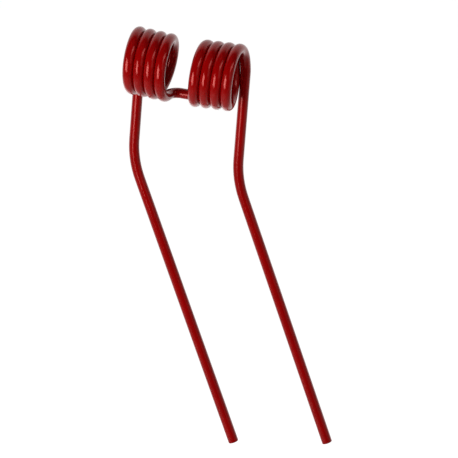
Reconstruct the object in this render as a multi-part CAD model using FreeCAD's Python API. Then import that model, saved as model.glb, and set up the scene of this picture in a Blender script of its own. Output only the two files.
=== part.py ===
"""Rotary rake tine: one spring steel wire, wound into two coils with a raking leg below each."""

import FreeCAD, Part
import math
import os

from FreeCAD import Rotation, Vector

# Lengths are millimetres and angles degrees.
# X runs along the bridge from the left coil to the right one, Z is up, and the coils lie on the -Y side of
# the bridge. The origin is the middle of the bridge, where the clamp on the rake's arm holds the tine.

# Wire
wire_diameter = 9.5
tip_rounding = 1.0

# Bridge: a short bar between the coils, with a tight bend at each end
bridge_straight = 7.4
bridge_bend_inside_radius = 5.25

# Coils, wound as mirror images of each other
coil_bore = 43.0
turn_gap = 0.5
whole_turns = 3
bridge_lead_angle = 4.2
coil_raised_angle = 2.2
coil_swept_angle = 1.8
arc_pair_angle = 120.0

# Shanks, from the back of each coil straight down to the lower bend
set_bend_inside_radius = 35.0
shank_lean_angle = 0.9
left_shank_length = 101.0
right_shank_length = 102.9

# Raking legs, skewed to one side along the bridge, with the left one longer
lower_bend_inside_radius = 85.0
left_leg_skew_angle = 25.1
right_leg_skew_angle = 24.6
left_leg_length = 283.8
right_leg_length = 262.8

# Sizes that follow from those above
wire_radius = wire_diameter / 2
coil_radius = coil_bore / 2 + wire_radius
coil_pitch = wire_diameter + turn_gap
three_quarter_turn = 270.0
coil_angle = 360.0 * whole_turns + three_quarter_turn + bridge_lead_angle
bridge_bend_radius = bridge_bend_inside_radius + wire_radius
set_bend_radius = set_bend_inside_radius + wire_radius
lower_bend_radius = lower_bend_inside_radius + wire_radius

centre = Vector(0, 0, 0)
x_axis = Vector(1, 0, 0)
y_axis = Vector(0, 1, 0)
z_axis = Vector(0, 0, 1)
down = Vector(0, 0, -1)


def straight(start, heading, length):
    """A straight run of wire, and the point where it ends."""
    return Part.makeCylinder(wire_radius, length, start, heading), start + heading * length


def bend(start, heading, new_heading, radius):
    """A round bend from one heading to another, and the point where it ends."""
    axis = heading.cross(new_heading).normalize()
    angle = math.degrees(heading.getAngle(new_heading))
    bend_centre = start + axis.cross(heading) * radius
    section = Part.Face(Part.Wire(Part.makeCircle(wire_radius, start, heading)))
    end = bend_centre + Rotation(axis, angle).multVec(start - bend_centre)
    return section.revolve(bend_centre, axis, angle), end


def bend_allowance(heading, new_heading, radius):
    """How much of each straight run a bend takes up, measured from the corner between them."""
    return radius * math.tan(heading.getAngle(new_heading) / 2)


def mirrored(vector):
    """The same place or heading on the other side of the bridge's middle."""
    return Vector(-vector.x, vector.y, vector.z)


def coil_attitude():
    """How the left coil lies: its outer end raised and swept back from the X axis."""
    return Rotation(z_axis, -coil_swept_angle) * Rotation(y_axis, coil_raised_angle)


def coil_point(angle):
    """A point on the left coil's centreline from the coil's own axis, at an angle turned from its outer end.

    The wire leaves the back of the coil, so angle 0 is at +Y, and the turns run over the top to the front.
    """
    along = coil_pitch * angle / 360
    turn = math.radians(angle)
    return coil_attitude().multVec(Vector(along, coil_radius * math.cos(turn), coil_radius * math.sin(turn)))


def coil_heading(angle):
    """The wire's heading at that point, towards the bridge."""
    rise = coil_pitch / (2 * math.pi)
    turn = math.radians(angle)
    tangent = Vector(rise, -coil_radius * math.sin(turn), coil_radius * math.cos(turn))
    return coil_attitude().multVec(tangent.normalize())


def arc_pair(start, heading, end, end_heading):
    """Two arcs that join smoothly and run from one place and heading to another."""
    chord = end - start
    both = heading + end_heading
    a = 4 - both.dot(both)
    b = 2 * chord.dot(both)
    allowance = (math.sqrt(b * b + 4 * a * chord.dot(chord)) - b) / (2 * a)
    middle_heading = (chord - both * allowance).normalize()
    first_radius = allowance / math.tan(heading.getAngle(middle_heading) / 2)
    second_radius = allowance / math.tan(middle_heading.getAngle(end_heading) / 2)
    first, middle = bend(start, heading, middle_heading, first_radius)
    second, _ = bend(middle, middle_heading, end_heading, second_radius)
    return [first, second]


def left_coil(outer_end):
    """The left coil's wire from shank to bridge, in arcs that meet the true helix at even steps."""
    coil_start = outer_end - coil_point(0)
    steps = math.ceil(coil_angle / arc_pair_angle)
    step_angle = coil_angle / steps
    pieces = []
    for step in range(steps):
        angle = step * step_angle
        next_angle = angle + step_angle
        start = coil_start + coil_point(angle)
        end = coil_start + coil_point(next_angle)
        pieces += arc_pair(start, coil_heading(angle), end, coil_heading(next_angle))
    return pieces


def leg(coil_end, heading, shank_length, leg_length, leg_skew_angle):
    """The wire below one coil: set bend, shank, lower bend and raking leg with its cut tip."""
    shank_heading = Rotation(y_axis, -shank_lean_angle).multVec(down)
    leg_heading = Rotation(y_axis, -leg_skew_angle).multVec(down)
    set_allowance = bend_allowance(heading, shank_heading, set_bend_radius)
    lower_allowance = bend_allowance(shank_heading, leg_heading, lower_bend_radius)

    set_bend, at = bend(coil_end, heading, shank_heading, set_bend_radius)
    shank, at = straight(at, shank_heading, shank_length - set_allowance - lower_allowance)
    lower_bend, at = bend(at, shank_heading, leg_heading, lower_bend_radius)
    raking_leg, tip = straight(at, leg_heading, leg_length - lower_allowance)
    tip_edges = [edge for edge in raking_leg.Edges if (edge.CenterOfMass - tip).Length < wire_radius / 2]
    raking_leg = raking_leg.makeFillet(tip_rounding, tip_edges)
    return [set_bend, shank, lower_bend, raking_leg]


def rake_tine():
    """The whole tine, one wire from tip to tip."""
    bar_end = Vector(-bridge_straight / 2, 0, 0)
    bar, _ = straight(bar_end, x_axis, bridge_straight)
    into_bend = coil_heading(coil_angle) * -1
    bridge_bend, inner_end = bend(bar_end, x_axis * -1, into_bend, bridge_bend_radius)
    outer_end = inner_end - coil_point(coil_angle) + coil_point(0)

    pieces = [bridge_bend] + left_coil(outer_end)
    pieces += [piece.mirror(centre, x_axis) for piece in pieces]
    out_of_coil = coil_heading(0) * -1
    pieces += leg(outer_end, out_of_coil, left_shank_length, left_leg_length, left_leg_skew_angle)
    outer_end = mirrored(outer_end)
    out_of_coil = mirrored(out_of_coil)
    pieces += leg(outer_end, out_of_coil, right_shank_length, right_leg_length, right_leg_skew_angle)
    return bar.multiFuse(pieces)


os.makedirs("parts", exist_ok=True)
rake_tine().exportStep("parts/rake_tine.step")
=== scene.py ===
import math

import bmesh
import bpy
from mathutils import Matrix, Vector


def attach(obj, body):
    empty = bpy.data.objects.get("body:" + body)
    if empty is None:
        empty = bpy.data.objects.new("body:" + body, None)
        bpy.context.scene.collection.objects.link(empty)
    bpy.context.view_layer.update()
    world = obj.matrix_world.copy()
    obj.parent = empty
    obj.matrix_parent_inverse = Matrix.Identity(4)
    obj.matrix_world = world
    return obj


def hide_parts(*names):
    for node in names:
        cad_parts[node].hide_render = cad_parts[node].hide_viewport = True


# Rotary rake tine, dressed as a new part in a product photograph.
# Lengths are metres and angles degrees, in the frame of the solid: X along the bridge from the left coil to
# the right one, Z up, and the coils on the -Y side of the bridge.

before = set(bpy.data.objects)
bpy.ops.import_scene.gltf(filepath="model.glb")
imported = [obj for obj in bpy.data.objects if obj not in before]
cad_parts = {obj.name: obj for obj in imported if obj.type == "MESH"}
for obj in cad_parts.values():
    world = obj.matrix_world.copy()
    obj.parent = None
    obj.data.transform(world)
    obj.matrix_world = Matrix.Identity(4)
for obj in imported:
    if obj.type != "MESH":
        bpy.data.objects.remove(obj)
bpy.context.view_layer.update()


# Wire of the tine
# One length of round spring steel wire, wound on a mandrel into two coils with a bridge between them, then
# bent to a shank and a raking leg below each coil. The ends are sheared square and tumbled to a small round.

wire_radius = 0.00475
tip_rounding = 0.0010
bridge_straight = 0.0074
bridge_bend_radius = 0.0100
coil_radius = 0.02625
coil_pitch = 0.0100
coil_angle = 1354.2
coil_raised_angle = 2.2
coil_swept_angle = 1.8
set_bend_radius = 0.03975
shank_lean_angle = 0.9
left_shank_length = 0.1010
right_shank_length = 0.1029
lower_bend_radius = 0.08975
left_leg_skew_angle = 25.1
right_leg_skew_angle = 24.6
left_leg_length = 0.2838
right_leg_length = 0.2628

# The painted turns all but touch, so the wire is a little wider along the coils, save at their ends.
turn_swelling = 1.045
swelling_steps = 12

faces_around = 48
coil_step_angle = 4.0
bend_step_angle = 3.0
tip_segments = 5
merge_distance = 0.00001

x_axis = Vector((1, 0, 0))
down = Vector((0, 0, -1))

wire_mesh = bpy.data.meshes.new("tine_wire")
bm = bmesh.new()
unbent = bm.verts.layers.float_vector.new("unbent")


def turned(vector, degrees, axis):
    """A vector turned about the X, Y or Z axis."""
    return Matrix.Rotation(math.radians(degrees), 3, axis) @ vector


def rim_verts(rim):
    """The vertices of the wire's open rim."""
    return [item for item in rim if isinstance(item, bmesh.types.BMVert)]


def rim_edges(rim):
    """The edges of the wire's open rim."""
    return [item for item in rim if isinstance(item, bmesh.types.BMEdge)]


def rim_middle(rim):
    """The middle of the wire's open rim."""
    verts = rim_verts(rim)
    return sum((vert.co for vert in verts), Vector()) / len(verts)


def lengthened(rim, length):
    """Adds to the distance along the unbent wire that the rim's vertices carry."""
    for vert in rim_verts(rim):
        vert[unbent] = vert[unbent] + Vector((0, 0, length))


def widened(rim, axis, ratio):
    """The rim made wider along an axis through its middle."""
    across = Matrix.Translation(rim_middle(rim)) @ axis.to_track_quat("X", "Z").to_matrix().to_4x4()
    bmesh.ops.scale(bm, vec=(ratio, 1, 1), space=across.inverted(), verts=rim_verts(rim))


def wound(rim, side, centre, axis, degrees, step_angle, radius, advance=0):
    """The rim carried round an axis, and along it for a coil, leaving the wire's skin behind it."""
    steps = math.ceil(abs(degrees) / step_angle)
    step_length = math.hypot(math.radians(degrees) * radius, advance) / steps
    step_swelling = turn_swelling ** (1 / swelling_steps)
    for step in range(steps):
        rim = bmesh.ops.spin(
            bm,
            geom=rim,
            cent=centre,
            axis=axis,
            dvec=axis * (advance / steps),
            angle=math.radians(degrees / steps),
            steps=1,
        )["geom_last"]
        lengthened(rim, side * step_length)
        if advance and step < swelling_steps:
            widened(rim, axis, step_swelling)
        if advance and step >= steps - swelling_steps:
            widened(rim, axis, 1 / step_swelling)
    return rim


def bent(rim, side, heading, new_heading, radius):
    """The rim carried round a bend from one heading to another."""
    axis = heading.cross(new_heading).normalized()
    centre = rim_middle(rim) + axis.cross(heading) * radius
    degrees = math.degrees(heading.angle(new_heading))
    return wound(rim, side, centre, axis, degrees, bend_step_angle, radius)


def straight(rim, side, heading, length):
    """The rim carried straight on."""
    rim = bmesh.ops.extrude_edge_only(bm, edges=rim_edges(rim))["geom"]
    rim = [item for item in rim if not isinstance(item, bmesh.types.BMFace)]
    rim_ends = rim_verts(rim)
    bmesh.ops.translate(bm, verts=rim_ends, vec=heading * length)
    lengthened(rim, side * length)
    return rim_ends + [edge for edge in rim_edges(rim) if all(vert in rim_ends for vert in edge.verts)]


def bend_allowance(heading, new_heading, radius):
    """How much of each straight run a bend takes up, measured from the corner between them."""
    return radius * math.tan(heading.angle(new_heading) / 2)


def half_tine(side, shank_length, leg_length, leg_skew_angle):
    """The wire from the middle of the bridge to one tip. The side is -1 for the left and 1 for the right."""
    circle = bmesh.ops.create_circle(
        bm, segments=faces_around, radius=wire_radius, matrix=Matrix.Rotation(math.radians(90), 4, "Y")
    )["verts"]
    for vert in circle:
        vert[unbent] = Vector((vert.co.y, vert.co.z, 0))
    rim = circle + list({edge for vert in circle for edge in vert.link_edges})

    attitude = Matrix.Rotation(math.radians(side * coil_swept_angle), 3, "Z")
    attitude = attitude @ Matrix.Rotation(math.radians(-side * coil_raised_angle), 3, "Y")
    rise = coil_pitch / math.tau
    turn = math.radians(coil_angle)
    into_coil = Vector((side * rise, coil_radius * math.sin(turn), -coil_radius * math.cos(turn)))
    into_coil = (attitude @ into_coil).normalized()
    out_of_coil = (attitude @ Vector((side * rise, 0, -coil_radius))).normalized()
    from_axis = attitude @ Vector((0, coil_radius * math.cos(turn), coil_radius * math.sin(turn)))

    # Bridge and coil
    rim = straight(rim, side, x_axis * side, bridge_straight / 2)
    rim = bent(rim, side, x_axis * side, into_coil, bridge_bend_radius)
    coil_axis = attitude @ x_axis
    coil_centre = rim_middle(rim) - from_axis
    coil_advance = side * coil_pitch * coil_angle / 360
    rim = wound(rim, side, coil_centre, coil_axis, -coil_angle, coil_step_angle, coil_radius, coil_advance)

    # Shank and raking leg
    shank_heading = turned(down, -shank_lean_angle, "Y")
    leg_heading = turned(down, -leg_skew_angle, "Y")
    set_allowance = bend_allowance(out_of_coil, shank_heading, set_bend_radius)
    lower_allowance = bend_allowance(shank_heading, leg_heading, lower_bend_radius)
    rim = bent(rim, side, out_of_coil, shank_heading, set_bend_radius)
    rim = straight(rim, side, shank_heading, shank_length - set_allowance - lower_allowance)
    rim = bent(rim, side, shank_heading, leg_heading, lower_bend_radius)
    rim = straight(rim, side, leg_heading, leg_length - lower_allowance)

    # Cut tip
    tip_edges = rim_edges(rim)
    bmesh.ops.edgeloop_fill(bm, edges=tip_edges)
    bmesh.ops.bevel(
        bm,
        geom=tip_edges,
        offset=tip_rounding,
        segments=tip_segments,
        profile=0.5,
        affect="EDGES",
        material=-1,
    )


half_tine(-1, left_shank_length, left_leg_length, left_leg_skew_angle)
half_tine(1, right_shank_length, right_leg_length, right_leg_skew_angle)
bmesh.ops.remove_doubles(bm, verts=bm.verts, dist=merge_distance)
bmesh.ops.recalc_face_normals(bm, faces=bm.faces)

# Only the cut faces of the tips stay flat.
for face in bm.faces:
    face.smooth = len(face.verts) < faces_around
bm.to_mesh(wire_mesh)
bm.free()

wire = bpy.data.objects.new("tine_wire", wire_mesh)
bpy.context.collection.objects.link(wire)


class Signal:
    """An output socket of a node tree. Arithmetic on it adds the Math nodes it needs."""

    def __init__(self, tree, socket=None):
        self.tree = tree
        self.socket = socket

    def node(self, kind, inputs=None, output=0, **settings):
        """A new node in the same tree, given its settings and the values or signals of its inputs."""
        node = self.tree.nodes.new(kind)
        for name, value in settings.items():
            setattr(node, name, value)
        for name, value in (inputs or {}).items():
            if isinstance(value, Signal):
                self.tree.links.new(value.socket, node.inputs[name])
            else:
                node.inputs[name].default_value = value
        return Signal(self.tree, node.outputs[output]) if len(node.outputs) else None

    def maths(self, operation, *values):
        """A Math node of the given operation on this signal and others."""
        return self.node("ShaderNodeMath", dict(enumerate(values)), operation=operation)

    def __add__(self, other):
        return self.maths("ADD", self, other)

    def __radd__(self, other):
        return self.maths("ADD", other, self)

    def __mul__(self, other):
        return self.maths("MULTIPLY", self, other)

    def __rmul__(self, other):
        return self.maths("MULTIPLY", other, self)

    def clamped(self, low, high):
        """This signal's share of the way from one value to another, held between 0 and 1."""
        inputs = {"Value": self, "From Min": low, "From Max": high}
        return self.node("ShaderNodeMapRange", inputs, interpolation_type="SMOOTHSTEP")


# Red paint on the wire: a gloss coat over clean steel, thick enough to hide the wire's drawing marks except
# for a faint lengthwise line or two.

paint_red = (0.325, 0.0006, 0.0009, 1)
paint_dark_red = (0.295, 0.0005, 0.0008, 1)
paint_roughness = 0.135
roughness_change = 0.01
gloss_level = 0.7
gloss_tint = (1, 0.3, 0.27, 1)
cloud_scale = 60
peel_scale = 500
peel_share = 0.6
line_scale = 900
line_stretch = 0.01
peel_height = 0.000008

paint = bpy.data.materials.new("red_paint")
paint.use_nodes = True
paint.node_tree.nodes.clear()
shader = Signal(paint.node_tree)
place = shader.node("ShaderNodeAttribute", attribute_name="unbent", output="Vector")
cloud = shader.node("ShaderNodeTexNoise", {"Vector": place, "Scale": cloud_scale, "Detail": 1})
drawn = shader.node("ShaderNodeMapping", {"Vector": place, "Scale": (1, 1, line_stretch)})
lines = shader.node("ShaderNodeTexNoise", {"Vector": drawn, "Scale": line_scale, "Detail": 3})
peel = shader.node("ShaderNodeTexNoise", {"Vector": place, "Scale": peel_scale, "Detail": 1})
height = peel * peel_share + lines * (1 - peel_share)
bump = shader.node("ShaderNodeBump", {"Height": height, "Strength": 1, "Distance": peel_height})

# A Mix node has a socket A and B for each kind of value, so they go by number: 6 and 7 are the colours.
colour = shader.node(
    "ShaderNodeMix",
    {0: cloud.clamped(0.3, 0.7), 6: paint_dark_red, 7: paint_red},
    output=2,
    data_type="RGBA",
)
coat = shader.node(
    "ShaderNodeBsdfPrincipled",
    {
        "Base Color": colour,
        "Roughness": cloud * roughness_change + paint_roughness,
        "Specular IOR Level": gloss_level,
        "Specular Tint": gloss_tint,
        "Normal": bump,
    },
)
shader.node("ShaderNodeOutputMaterial", {"Surface": coat})
wire_mesh.materials.append(paint)

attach(wire, "root")
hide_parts("rake_tine")


# Floor: a pale sheet well below the tine. The camera sees it plain white, and so does the paint's gloss where
# the floor runs on behind the tine.

floor_drop = 0.9
floor_size = 30
floor_colour = (0.8, 0.8, 0.8, 1)
floor_glow = 0.95
plain_white = (1, 1, 1, 1)
behind_tine = (-0.237, 0.972, 0)
glow_start = 0.12
glow_full = 0.6

bm = bmesh.new()
bmesh.ops.create_grid(bm, x_segments=1, y_segments=1, size=floor_size / 2)
bmesh.ops.translate(bm, verts=bm.verts, vec=(0, 0, -floor_drop))
floor_mesh = bpy.data.meshes.new("floor")
bm.to_mesh(floor_mesh)
bm.free()
floor = bpy.data.objects.new("floor", floor_mesh)
bpy.context.collection.objects.link(floor)

floor_sheet = bpy.data.materials.new("floor_sheet")
floor_sheet.use_nodes = True
floor_sheet.node_tree.nodes.clear()
shader = Signal(floor_sheet.node_tree)
seen = shader.node("ShaderNodeLightPath", output="Is Camera Ray")
mirrored = shader.node("ShaderNodeLightPath", output="Is Glossy Ray")
through = shader.node("ShaderNodeLightPath", output="Is Transmission Ray")
spot = shader.node("ShaderNodeTexCoord", output="Object")
towards = shader.node("ShaderNodeVectorMath", {0: spot}, "Vector", operation="NORMALIZE")
behind = shader.node("ShaderNodeVectorMath", {0: towards, 1: behind_tine}, "Value", operation="DOT_PRODUCT")
glow = behind.clamped(glow_start, glow_full)
pale = shader.node("ShaderNodeBsdfDiffuse", {"Color": floor_colour})
white = shader.node("ShaderNodeEmission", {"Color": plain_white, "Strength": floor_glow})
white = shader.node("ShaderNodeAddShader", {0: pale, 1: white})
sheet = shader.node("ShaderNodeMixShader", {0: seen + through + mirrored * glow, 1: pale, 2: white})
shader.node("ShaderNodeOutputMaterial", {"Surface": sheet})
floor_mesh.materials.append(floor_sheet)


# Room: white behind the tine and dark in front of it, with an even soft light on the paint.

front_glow = 0.03
room_light = 0.05

room = bpy.data.worlds.new("room")
room.use_nodes = True
room.node_tree.nodes.clear()
shader = Signal(room.node_tree)
seen = shader.node("ShaderNodeLightPath", output="Is Camera Ray")
mirrored = shader.node("ShaderNodeLightPath", output="Is Glossy Ray")
through = shader.node("ShaderNodeLightPath", output="Is Transmission Ray")
scattered = shader.node("ShaderNodeLightPath", output="Is Diffuse Ray")
towards = shader.node("ShaderNodeTexCoord", output="Generated")
behind = shader.node("ShaderNodeVectorMath", {0: towards, 1: behind_tine}, "Value", operation="DOT_PRODUCT")
glow = behind.clamped(glow_start, glow_full) * (1 - front_glow) + front_glow
strength = seen + through + mirrored * glow + scattered * room_light
backdrop = shader.node("ShaderNodeBackground", {"Color": plain_white, "Strength": strength})
shader.node("ShaderNodeOutputWorld", {"Surface": backdrop})
bpy.context.scene.world = room


# Studio lights: two tall softboxes on the left, one high on the right, dim sheets around the tine, and plain
# fills above and behind it.

aim = Vector((0, 0, 0.02))


def soft_light(name, azimuth, elevation, distance, width, height, radiance, mirrored=True):
    """A rectangular lamp that faces the coils, placed by its direction as seen from them."""
    lamp = bpy.data.lights.new(name, "AREA")
    lamp.shape = "RECTANGLE"
    lamp.size = width
    lamp.size_y = height
    lamp.energy = radiance * math.pi * width * height
    carrier = bpy.data.objects.new(name, lamp)
    spin = Matrix.Rotation(math.radians(azimuth), 4, "Z")
    spin = spin @ Matrix.Rotation(math.radians(90 - elevation), 4, "X")
    carrier.matrix_world = Matrix.Translation(aim) @ spin @ Matrix.Translation((0, 0, distance))
    carrier.visible_camera = False
    carrier.visible_glossy = mirrored
    bpy.context.collection.objects.link(carrier)


soft_light("key_near", -18, -6, 1.17, 0.55, 0.70, 5.6)
soft_light("key_far", -34, 0, 1.30, 0.45, 0.75, 5.6)
soft_light("high_right", 65, 36, 1.38, 0.86, 0.34, 2.9)
soft_light("high_sheet", 52, 26, 1.70, 0.88, 1.45, 0.5)
soft_light("right_sheet", 97, -7, 0.75, 1.17, 0.58, 0.3)
soft_light("low_right", 107, -48, 0.90, 0.66, 1.23, 0.15)
soft_light("left_sheet", -105, -9, 1.12, 0.86, 0.62, 0.2)
soft_light("low_left", -80, -35, 1.00, 1.80, 0.52, 0.12)
soft_light("top_fill", 0, 80, 1.40, 0.90, 0.90, 0.8, mirrored=False)
soft_light("back_fill", 195, 5, 1.40, 1.10, 1.10, 2.8, mirrored=False)


# Camera: a long lens at the photograph's angle.

camera_azimuth = 13.692
camera_elevation = 19.933
camera_roll = 5.523
camera_distance = 4.5
camera_target = Vector((0.0631124, -0.0442755, -0.1042861))
camera_lens = 392.76

eye = bpy.data.cameras.new("camera")
eye.sensor_width = 36
eye.lens = camera_lens
eye.clip_end = 100
camera = bpy.data.objects.new("camera", eye)
spin = Matrix.Rotation(math.radians(camera_azimuth), 4, "Z")
spin = spin @ Matrix.Rotation(math.radians(90 - camera_elevation), 4, "X")
spin = spin @ Matrix.Rotation(math.radians(camera_roll), 4, "Z")
camera.matrix_world = Matrix.Translation(camera_target) @ spin @ Matrix.Translation((0, 0, camera_distance))
bpy.context.collection.objects.link(camera)
bpy.context.scene.camera = camera
bpy.context.scene.view_settings.view_transform = "Standard"
